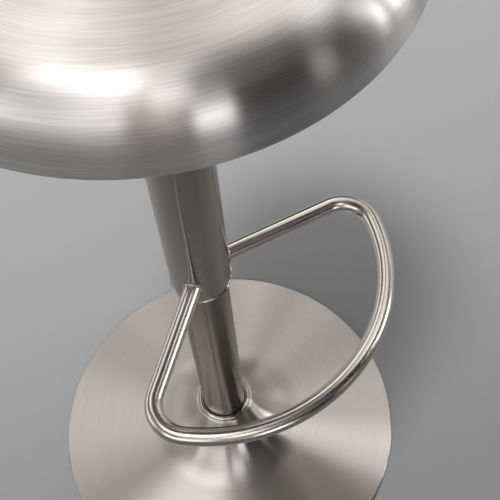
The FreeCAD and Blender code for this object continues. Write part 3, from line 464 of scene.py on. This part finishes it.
def slotted_tube(name, material, around=200, across=6):
    """The turned outline of a tube, with a slot for the lever on its -X side.

    A column of points runs down each of the slot's edges, at asin(half the slot / radius)
    from its middle, so that its side walls are flat. The faces inside the slot are left
    out, and walls join its outer and inner edges."""
    inner = UPPER_RADIUS - UPPER_WALL
    points, ways = outline(
        (UPPER_RADIUS, UPPER_TOP, END_ROUNDING), (UPPER_RADIUS, SLOT_HIGH),
        (UPPER_RADIUS, SLOT_LOW), (UPPER_RADIUS, lip_top, LIP_ROUNDING),
        (UPPER_RADIUS + LIP, UPPER_FOOT + BEVEL, LIP_ROUNDING),
        (UPPER_RADIUS + LIP - BEVEL, UPPER_FOOT, LIP_ROUNDING),
        (inner, UPPER_FOOT, END_ROUNDING), (inner, SLOT_LOW), (inner, SLOT_HIGH),
        (inner, UPPER_TOP, END_ROUNDING), closed=True, step=0.02)
    edge = np.arcsin(SLOT_HALF / np.clip(points[:, :1], inner, UPPER_RADIUS))
    slot = np.linspace(-1, 1, across + 1)[None] * edge + np.pi
    share = np.linspace(0, 1, around - across + 1)[None, 1:-1]
    angle = np.hstack((slot, np.pi + edge + share * 2 * (np.pi - edge)))
    cos, sin, columns = np.cos(angle), np.sin(angle), angle.shape[1]
    up = np.repeat(points[:, 1:], columns, 1)
    grid = np.stack((points[:, :1] * cos, points[:, :1] * sin, up), -1)
    normals = np.stack((-ways[:, 1:] * cos, -ways[:, 1:] * sin, ways[:, :1] + up * 0), -1)
    quads = grid_faces(len(points), columns, True).reshape(len(points), columns, 4)
    top, foot = (np.abs(points[:, 1] - level) < TINY for level in (SLOT_HIGH, SLOT_LOW))
    outer = points[:, 0] > (inner + UPPER_RADIUS) / 2
    (out_high,), (out_low,) = np.flatnonzero(top & outer), np.flatnonzero(foot & outer)
    (in_high,), (in_low,) = np.flatnonzero(top & ~outer), np.flatnonzero(foot & ~outer)
    kept = np.ones(quads.shape[:2], bool)
    kept[out_high:out_low, :across] = False
    kept[in_low:in_high, :across] = False
    faces = quads[kept].tolist()
    spot = np.arange(len(points) * columns).reshape(len(points), columns)
    down, rise = spot[out_high:out_low + 1], spot[in_low:in_high + 1][::-1]
    faces += np.stack((down[:-1, 0], down[1:, 0], rise[1:, 0], rise[:-1, 0]), -1).tolist()
    faces += np.stack((down[1:, across], down[:-1, across], rise[:-1, across],
                       rise[1:, across]), -1).tolist()
    low, high = spot[[out_low, in_low], :across + 1], spot[[out_high, in_high], :across + 1]
    faces += np.stack((low[0, :-1], low[0, 1:], low[1, 1:], low[1, :-1]), -1).tolist()
    faces += np.stack((high[0, 1:], high[0, :-1], high[1, :-1], high[1, 1:]), -1).tolist()
    walls = range(int(kept.sum()), len(faces))
    return skin(name, grid.reshape(-1, 3), normals.reshape(-1, 3), faces, material, walls)


upper_tube = slotted_tube("upper_tube_skin", upper_steel)
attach(upper_tube, "seat")
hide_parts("upper_tube")
dress(zinc_steel, "taper_hub")
dress(black_plastic, "guide_ring")

# Footrest
# One stainless tube bent round: two straight arms, two corner bends and a large front arc.
# It is polished with a belt along its length, and its ends are cut to fit the upper tube.


def tube(centres, ways, radii, side, around=64):
    """A round skin about a path in one plane: centre + radius * (cos * a + sin * side), where
    side is square to that plane and a is way x side. Returns points and outward normals."""
    angle = np.arange(around) / around * 2 * np.pi
    outward = (np.cross(ways, side)[:, None] * np.cos(angle)[:, None]
               + np.array(side) * np.sin(angle)[:, None])
    return centres[:, None] + outward * np.reshape(radii, (-1, 1, 1)), outward


def bends(*arcs, up, step=0.003, spare=8):
    """Arcs (centre, radius, first angle, last angle) travelled clockwise: centre + radius *
    (cos, sin), heading (sin, -cos). Each is cut at every step, and a few spare times."""
    points, ways = [], []
    for centre, radius, first, last in arcs:
        angle = np.linspace(first, last, int(abs(first - last) * radius / step) + spare)
        angle = angle[1:, None]
        spot = np.hstack((np.cos(angle), np.sin(angle))) * radius + centre
        points.append(np.hstack((spot, angle * 0 + up)))
        ways.append(np.hstack((np.sin(angle), -np.cos(angle), angle * 0)))
    return np.vstack(points), np.vstack(ways)


def reach_column(ring, way, radius):
    """Slide each point of a ring along a way until it is a radius from the column's axis:
    t = -p.w + sqrt((p.w)^2 - p.p + radius^2), with p the point's place across the floor."""
    dot, square = ring[:, :2] @ way[:2], (ring[:, :2] ** 2).sum(1)
    return ring + (-dot + np.sqrt(dot ** 2 - square + radius ** 2))[:, None] * way


FOOTREST_UP, REST_RADIUS, REST_WALL = 0.4068, 0.008, 0.0015
ARM_ANGLE, ARM_OFFSET = math.radians(66.3), 0.0038
ARC_RADIUS, ARC_BACK, CORNER_RADIUS = 0.159, 0.0174, 0.0298
ARM_START, ARM_CUTS, END_SINK = 0.034, 24, 0.0002

footrest_steel, place = finish("footrest_steel", Metallic=1.0)
belt = place.noise(fine=140.0, detail=4.0, rough=0.6)
footrest_steel = feed(footrest_steel, Roughness=belt * 0.08 + 0.19,
                      Base_Color=belt.between((0.64, 0.60, 0.555), (0.72, 0.68, 0.635)),
                      Normal=place.noise(fine=260.0, detail=2.0).bump(depth=0.000003))

# Each corner bend touches its arm and the front arc, so its centre lies a corner radius from
# the arm and the difference of the two radii from the arc's centre.
arm_way = np.array((math.sin(ARM_ANGLE), -math.cos(ARM_ANGLE), 0.0))
arm_side = np.array((-math.cos(ARM_ANGLE), -math.sin(ARM_ANGLE), 0.0))
arm_foot = arm_side * ARM_OFFSET + (0, 0, FOOTREST_UP)
corner_side, swing_radius = ARM_OFFSET + CORNER_RADIUS, ARC_RADIUS - CORNER_RADIUS
arm_length = ARC_BACK * math.cos(ARM_ANGLE) + math.sqrt(
    swing_radius ** 2 - (corner_side - ARC_BACK * math.sin(ARM_ANGLE)) ** 2)
corner = arm_way[:2] * arm_length + arm_side[:2] * corner_side
meeting = math.atan2(corner[1] + ARC_BACK, corner[0])
arm = np.linspace(ARM_START, arm_length, ARM_CUTS)[:, None]
arm_points = np.vstack((arm_foot, arm_foot + arm * arm_way))
front, front_ways = bends(
    (corner, CORNER_RADIUS, ARM_ANGLE, meeting),
    ((0.0, -ARC_BACK), ARC_RADIUS, meeting, -math.pi - meeting),
    (corner * (-1, 1), CORNER_RADIUS, -math.pi - meeting, -math.pi - ARM_ANGLE),
    up=FOOTREST_UP)
rest_line = np.vstack((arm_points, front, arm_points[-2::-1] * (-1, 1, 1)))
rest_ways = np.vstack((np.repeat(arm_way[None], len(arm_points), 0), front_ways,
                       np.repeat(arm_way[None] * (1, -1, 1), len(arm_points) - 1, 0)))

# The outer skin and the bore join into one, which closes round both cut ends.
rest_skins = []
for radius in (REST_RADIUS, REST_RADIUS - REST_WALL):
    rings, outward = tube(rest_line, rest_ways, np.full(len(rest_line), radius), (0.0, 0.0, 1.0))
    rings[0] = reach_column(rings[0], arm_way, UPPER_RADIUS - END_SINK)
    rings[-1] = reach_column(rings[-1], arm_way * (-1, 1, 1), UPPER_RADIUS - END_SINK)
    rest_skins.append((rings, outward))
(outer, out), (bore, inward) = rest_skins
rings, normals = np.vstack((outer, bore[::-1])), np.vstack((out, -inward[::-1]))
faces = grid_faces(len(rings), rings.shape[1], True)
cuts = np.arange(len(faces)).reshape(len(rings), -1)[[len(outer) - 1, -1]]
footrest = skin("footrest_skin", rings.reshape(-1, 3), normals.reshape(-1, 3), faces.tolist(),
                footrest_steel, cuts.ravel().tolist())
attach(footrest, "seat")
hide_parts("footrest")

# Welds of the footrest
# A stainless bead runs round each arm where it meets the upper tube. It is laid by hand, so
# it is rippled, ends in a small blob, and is faintly straw coloured from the heat.

weld_steel, place = finish("weld_steel", Metallic=1.0)
heat = place.noise(fine=320.0)
weld_steel = feed(weld_steel, Roughness=heat * 0.2 + 0.16,
                  Base_Color=heat.between((0.50, 0.43, 0.34), (0.68, 0.64, 0.58)),
                  Normal=place.noise(fine=900.0, detail=2.0).bump(depth=0.00006))

BEAD_RADIUS = 0.00135
RIPPLES, RIPPLE_SHARE = 24, 0.07
SWELLS, SWELL_SHARE = 7, 0.04
BLOB_SHARE, BLOB_WIDTH = 0.5, 0.16


def weld_bead(name, hand, blob, around=180, section=16):
    """A bead on the curve where arm and column meet: a circle carried round that curve.

    Its size is the bead's radius * (1 + shares of ripples, swells and the blob): ripples are
    sin(24 a + sin(3 a)), swells sin(7 a), and the blob exp(-(angle from it / width)^2). Its
    middle is lifted from the curve by a third of its size, halfway between the outward
    directions of arm and column."""
    angle = np.arange(around) / around * 2 * np.pi
    way, side = arm_way * (hand, 1, 1), arm_side * (hand, 1, 1)
    radial = side * np.cos(angle)[:, None] + np.array((0, 0, 1.0)) * np.sin(angle)[:, None]
    foot = arm_foot * (hand, 1, 1)
    curve = reach_column(foot + radial * REST_RADIUS, way, UPPER_RADIUS)
    outward = curve * (1, 1, 0) / UPPER_RADIUS
    along = np.roll(curve, -1, 0) - np.roll(curve, 1, 0)
    along /= np.linalg.norm(along, axis=1)[:, None]
    lift = radial + outward
    lift -= (lift * along).sum(1)[:, None] * along
    lift /= np.linalg.norm(lift, axis=1)[:, None]
    gap = (angle - blob + np.pi) % (2 * np.pi) - np.pi
    size = BEAD_RADIUS * (1 + RIPPLE_SHARE * np.sin(angle * RIPPLES + np.sin(angle * 3))
                          + SWELL_SHARE * np.sin(angle * SWELLS)
                          + BLOB_SHARE * np.exp(-(gap / BLOB_WIDTH) ** 2))
    turn = np.arange(section) / section * 2 * np.pi
    spread = np.cross(along, lift) * hand
    normal = (lift[:, None] * np.cos(turn)[:, None] + spread[:, None] * np.sin(turn)[:, None])
    middle = curve + lift * (size / 3)[:, None]
    points = middle[:, None] + normal * size[:, None, None]
    faces = grid_faces(around, section, True)[:, ::-hand]
    return skin(name, points.reshape(-1, 3), normal.reshape(-1, 3), faces.tolist(), weld_steel)


# Each weld's side of the stool, and the angle round the arm at which its bead ends
for name, hand, blob in (("footrest_weld_left", 1, 4.2), ("footrest_weld_right", -1, 5.6)):
    bead = weld_bead(name + "_skin", hand, blob)
    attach(bead, "seat")
    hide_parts(name)

# Seat plate, bracket and screws
# A black coated plate welded on top of the column, with the lever's bracket under it. Four
# zinc plated screws with washers hold the seat on it, in a tapped plate inside the seat.

dress(black_steel, "seat_plate", "lever_bracket", "backing_plate")
dress(zinc_steel, "mounting_screws", "mounting_washers", "lever_pin")

# Lever with its grip
# A chromed rod, bent once, that rocks on a rivet in the bracket: its inner end presses the
# spring's pin. A ribbed plastic grip is pushed on its outer end.

LEVER_UP, ROD_RADIUS, ROD_INNER = 0.766, 0.004, 0.003
BEND_AT, BEND_RADIUS, DROOP, LEVER_REACH = 0.045, 0.040, math.radians(12.0), 0.104
GRIP_RADIUS, NECK_RADIUS, GRIP_LENGTH, GRIP_DEPTH = 0.0075, 0.0056, 0.038, 0.035
GRIP_ROUNDING, GRIP_BELLY = 0.0025, 0.02
RIB_START, RIB_END, RIB_COUNT, RIB_DEPTH = 0.010, 0.032, 8, 0.0005

line, ways = outline(
    (ROD_INNER, LEVER_UP), (-BEND_AT, LEVER_UP, BEND_RADIUS),
    (-BEND_AT - LEVER_REACH * math.cos(DROOP), LEVER_UP - LEVER_REACH * math.sin(DROOP)))

# The first and last rings are drawn in to a point, which closes the rod's ends.
line, ways = np.vstack((line[:1], line, line[-1:])), np.vstack((ways[:1], ways, ways[-1:]))
radii = np.full(len(line), ROD_RADIUS)
radii[[0, -1]] = 0.0
path = np.insert(line, 1, 0.0, axis=1)
heading = np.insert(ways, 1, 0.0, axis=1)
rings, normals = tube(path, heading, radii, (0.0, 1.0, 0.0), around=40)
normals[0], normals[-1] = -heading[0], heading[-1]
lever_rod = skin("lever_rod_skin", rings.reshape(-1, 3), normals.reshape(-1, 3),
                 grid_faces(len(rings), rings.shape[1], False).tolist(), lever_chrome)
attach(lever_rod, "lever")
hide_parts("lever_rod")

grip_plastic = rubbery("grip_plastic", (0.028, 0.028, 0.03), (0.044, 0.044, 0.047), grain=1800.0)
grip_line, grip_ways = outline(
    (0.0, GRIP_LENGTH), (GRIP_RADIUS, GRIP_LENGTH, GRIP_ROUNDING),
    (GRIP_RADIUS, GRIP_LENGTH / 2, GRIP_BELLY), (NECK_RADIUS, 0.0, END_ROUNDING),
    (ROD_RADIUS, 0.0, END_ROUNDING), (ROD_RADIUS, GRIP_DEPTH), (0.0, GRIP_DEPTH), step=0.0004)

# Ribs: the outside dips by rib depth * (1 - cos of the turns along the ribbed length) / 2.
rib_middle, rib_length = (RIB_START + RIB_END) / 2, RIB_END - RIB_START
along = grip_line[:, 1]
ribbed = (grip_line[:, 0] > NECK_RADIUS) & (np.abs(along - rib_middle) < rib_length / 2)
wave = (along - RIB_START) / rib_length * 2 * np.pi * RIB_COUNT
grip_line[:, 0] -= ribbed * (0.5 - 0.5 * np.cos(wave)) * RIB_DEPTH
slope = np.gradient(grip_line, axis=0)
slope /= np.maximum(np.linalg.norm(slope, axis=1), TINY)[:, None]
grip_ways = np.where(ribbed[:, None], slope, grip_ways)
grip = spin("lever_knob_skin", grip_line, grip_ways, grip_plastic, around=72, loop=False)

# The grip is made upright, then leaned over and slid on the rod's outer end.
lean = Matrix.Rotation(-math.pi / 2 - DROOP, 4, "Y")
back = LEVER_REACH - GRIP_DEPTH
grip.data.transform(Matrix.Translation((-BEND_AT - back * math.cos(DROOP), 0.0,
                                        LEVER_UP - back * math.sin(DROOP))) @ lean)
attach(grip, "lever")
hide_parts("lever_knob")

# Seat
# Stainless sheet spun to a low crown, a round shoulder, an upright rim and a hem turned in
# below. It is brushed in circles on the lathe. A steel disc welded on the hem closes it.

SEAT_RADIUS, SEAT_FOOT, SEAT_WALL, RIM_TOP, HEM = 0.175, 0.780, 0.0012, 0.795, 0.016
SHOULDER_RADIUS, CROWN_RADIUS, RIM_EDGE = 0.037, 1.9, 0.0022

seat_steel = brushed_disc("seat_steel", (0.58, 0.565, 0.555), (0.84, 0.82, 0.81), rough=0.272,
                          measure_of=lambda across, up: up - across, pitch=0.0014,
                          relief=0.00001)

# The middle of the sheet: the crown's arc starts level on the axis, and runs into the
# shoulder's arc where both slope down by the same tilt.
half_wall = SEAT_WALL / 2
tilt = math.asin((SEAT_RADIUS - SHOULDER_RADIUS) / (CROWN_RADIUS - SHOULDER_RADIUS))
crown_top = RIM_TOP + CROWN_RADIUS - (CROWN_RADIUS - SHOULDER_RADIUS) * math.cos(tilt) - half_wall
crown_reach = (CROWN_RADIUS - half_wall) * math.tan(tilt / 2)
rim = SEAT_RADIUS - half_wall
seat_line = outline(
    (0.0, crown_top), (crown_reach, crown_top, CROWN_RADIUS - half_wall),
    (rim, crown_top - (rim - crown_reach) * math.tan(tilt), SHOULDER_RADIUS - half_wall),
    (rim, SEAT_FOOT + half_wall, RIM_EDGE - half_wall),
    (SEAT_RADIUS - HEM + half_wall, SEAT_FOOT + half_wall))
seat = spin("seat_shell_skin", *sheet(*seat_line, SEAT_WALL, ends=(False, True)), seat_steel,
            loop=False)
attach(seat, "seat")
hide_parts("seat_shell")
dress(plain_steel, "seat_pan")

# Floor, light and camera
# A pale studio floor with painted shade towards the camera's side, and a dark room lit by soft
# panels and a pale ceiling. A broad lamp adds the seat's shadow. The camera stands where the
# photograph was taken from.

FLOOR_HALF, FLOOR_DROP = 20.0, 0.0001

# The grey pales evenly from the camera's side of the stool to the far side: painted shade, darker
# on the camera's side, where the metal mirrors the floor.
floor_grey, place = finish("floor_grey", Roughness=0.9, Specular_IOR_Level=0.2)
x, y, _ = place.parts()
shade = fade(x * 0.5 + y * 0.87, -1.0, 0.75) * -1.0 + place.noise(fine=3.0) * 0.03 + 0.985
floor_grey = feed(floor_grey, Base_Color=shade.between((0.085, 0.087, 0.09), (0.325, 0.331, 0.34)))
corners = np.array([(-1.0, -1.0), (1.0, -1.0), (1.0, 1.0), (-1.0, 1.0)]) * FLOOR_HALF
floor = skin("floor", np.insert(corners, 2, -FLOOR_DROP, axis=1),
             np.array([(0.0, 0.0, 1.0)] * 4), [[0, 1, 2, 3]], floor_grey)

world = bpy.data.worlds.new("studio")
world.use_nodes = True
bpy.context.scene.world = world
place = world.node_tree.nodes.new("ShaderNodeTexCoord")
x, y, z = Wire(place.outputs["Object"]).parts()
azimuth = y.math("ARCTAN2", x) * math.degrees(1)
height = z.math("ARCSINE") * math.degrees(1)


def tinted(wire, colour):
    """Coloured light: the colour * the wire."""
    return wire.add("ShaderNodeVectorMath", {"operation": "SCALE"}, {0: colour, "Scale": wire})


def panel(turn, up, half_wide, half_tall, soft, colour):
    """Light from a patch of the room, in degrees round and up: its share is 1 inside, falls
    off across a soft edge on all sides, and is 0 outside."""
    aside = (azimuth - turn).math("WRAP", 180.0, -180.0).math("ABSOLUTE")
    above = (height - up).math("ABSOLUTE")
    share = (fade(aside, half_wide - soft, half_wide + soft)
             * fade(above, half_tall - soft, half_tall + soft))
    return tinted(share, colour)


CEILING_EDGE, CEILING_FULL = 79.0, 87.0
ROOM_GREY = (0.30, 0.30, 0.305, 1.0)

# Panels: place round and up, half width, half height, softness of the edges, and colour. Most
# of these numbers are a program's: least-squares fits to the photograph's brightness gave them,
# and they were rounded. A few panels were added or changed afterwards by trial.
room = [
    panel(166.0, 74.5, 46.5, 9.5, 4.4, (3.90, 3.85, 3.80)),
    panel(142.0, 64.0, 14.0, 8.0, 3.0, (1.30, 1.27, 1.25)),
    panel(-168.5, 22.5, 23.5, 13.0, 2.5, (1.65, 1.62, 1.61)),
    panel(-133.5, 32.0, 9.0, 36.0, 3.7, (0.36, 0.30, 0.26)),
    panel(-128.0, 51.0, 9.0, 10.0, 1.5, (2.15, 2.10, 2.08)),
    panel(-115.5, 6.0, 6.5, 10.5, 1.5, (3.75, 3.75, 3.75)),
    panel(-75.5, 7.5, 4.0, 15.5, 3.0, (0.68, 0.65, 0.62)),
    panel(-40.0, 8.0, 5.0, 12.0, 1.5, (4.60, 4.60, 4.60)),
    panel(-50.0, 12.0, 1.6, 25.0, 0.7, (5.20, 5.20, 5.20)),
    panel(-35.0, 28.0, 4.0, 12.0, 3.0, (0.55, 0.54, 0.53)),
    panel(-24.0, 58.0, 10.5, 5.0, 2.9, (2.80, 2.80, 2.80)),
    panel(10.0, 61.5, 29.0, 10.0, 4.3, (1.18, 1.13, 1.08)),
    panel(24.0, 74.5, 17.0, 4.0, 3.0, (1.20, 1.15, 1.10)),
    panel(52.0, 44.0, 16.5, 9.0, 4.0, (1.86, 1.77, 1.69)),
    panel(88.0, 56.0, 21.5, 16.0, 5.1, (1.32, 1.26, 1.21)),
    panel(113.5, 10.0, 35.0, 7.0, 4.7, (1.54, 1.48, 1.41)),
    panel(-4.0, 10.0, 27.0, 22.0, 5.5, (0.66, 0.62, 0.59)),
    panel(-114.0, 52.5, 37.0, 19.5, 7.2, (0.15, 0.14, 0.14)),
    panel(148.5, 23.5, 26.5, 19.5, 5.0, (0.45, 0.43, 0.41)),
    tinted(1.0 - fade(height, CEILING_EDGE, CEILING_FULL), (2.40, 2.36, 2.32)),
    panel(70.0, 20.0, 9.5, 22.0, 4.1, (0.42, 0.40, 0.38)),
    panel(31.0, 40.0, 11.0, 16.5, 5.1, (0.40, 0.38, 0.36)),
    panel(-8.0, 30.5, 8.0, 16.5, 4.1, (0.43, 0.41, 0.39)),
    panel(-155.0, 44.5, 12.0, 12.0, 4.0, (0.60, 0.57, 0.55)),
]

# The light is the sum of all panels.
light = room[0]
for share in room[1:]:
    light = light.add("ShaderNodeVectorMath", {"operation": "ADD"}, {0: light, 1: share})

# The stool is lit by the room, and the camera sees plain grey behind it.
seen = Wire(world.node_tree.nodes.new("ShaderNodeLightPath").outputs["Is Camera Ray"])
light = light.add("ShaderNodeMix", {"data_type": "RGBA"}, {
    0: seen, 6: light, 7: ROOM_GREY}, 2)
world.node_tree.links.new(light.output, world.node_tree.nodes["Background"].inputs["Color"])

LAMP_STRENGTH, LAMP_SPREAD, LAMP_TURN = 2.0, math.radians(10.0), (0.0, -17.2, 9.0)

# The turn is in degrees. The metal doesn't mirror the lamp, which would show as a hard spot.
lamp_data = bpy.data.lights.new("overhead_lamp", "SUN")
lamp_data.energy, lamp_data.angle = LAMP_STRENGTH, LAMP_SPREAD
lamp = bpy.data.objects.new("overhead_lamp", lamp_data)
lamp.rotation_euler = [math.radians(angle) for angle in LAMP_TURN]
lamp.visible_glossy = False
bpy.context.scene.collection.objects.link(lamp)

view = bpy.context.scene.view_settings
view.view_transform = "Standard"

# Place in metres and turn in degrees, fitted to the outlines that the photograph shows
CAMERA_PLACE, CAMERA_TURN = (-0.28501, -0.34574, 1.14739), (31.3183, 2.8817, -50.5004)
LENS_PIXELS, FRAME_PIXELS, SENSOR_WIDTH, NEAREST = 930.0, 500.0, 36.0, 0.01

camera_data = bpy.data.cameras.new("camera")
camera_data.sensor_width = SENSOR_WIDTH
camera_data.lens = LENS_PIXELS / FRAME_PIXELS * camera_data.sensor_width
camera_data.clip_start = NEAREST
camera = bpy.data.objects.new("camera", camera_data)
camera.location = CAMERA_PLACE
camera.rotation_euler = [math.radians(angle) for angle in CAMERA_TURN]
bpy.context.scene.collection.objects.link(camera)
bpy.context.scene.camera = camera
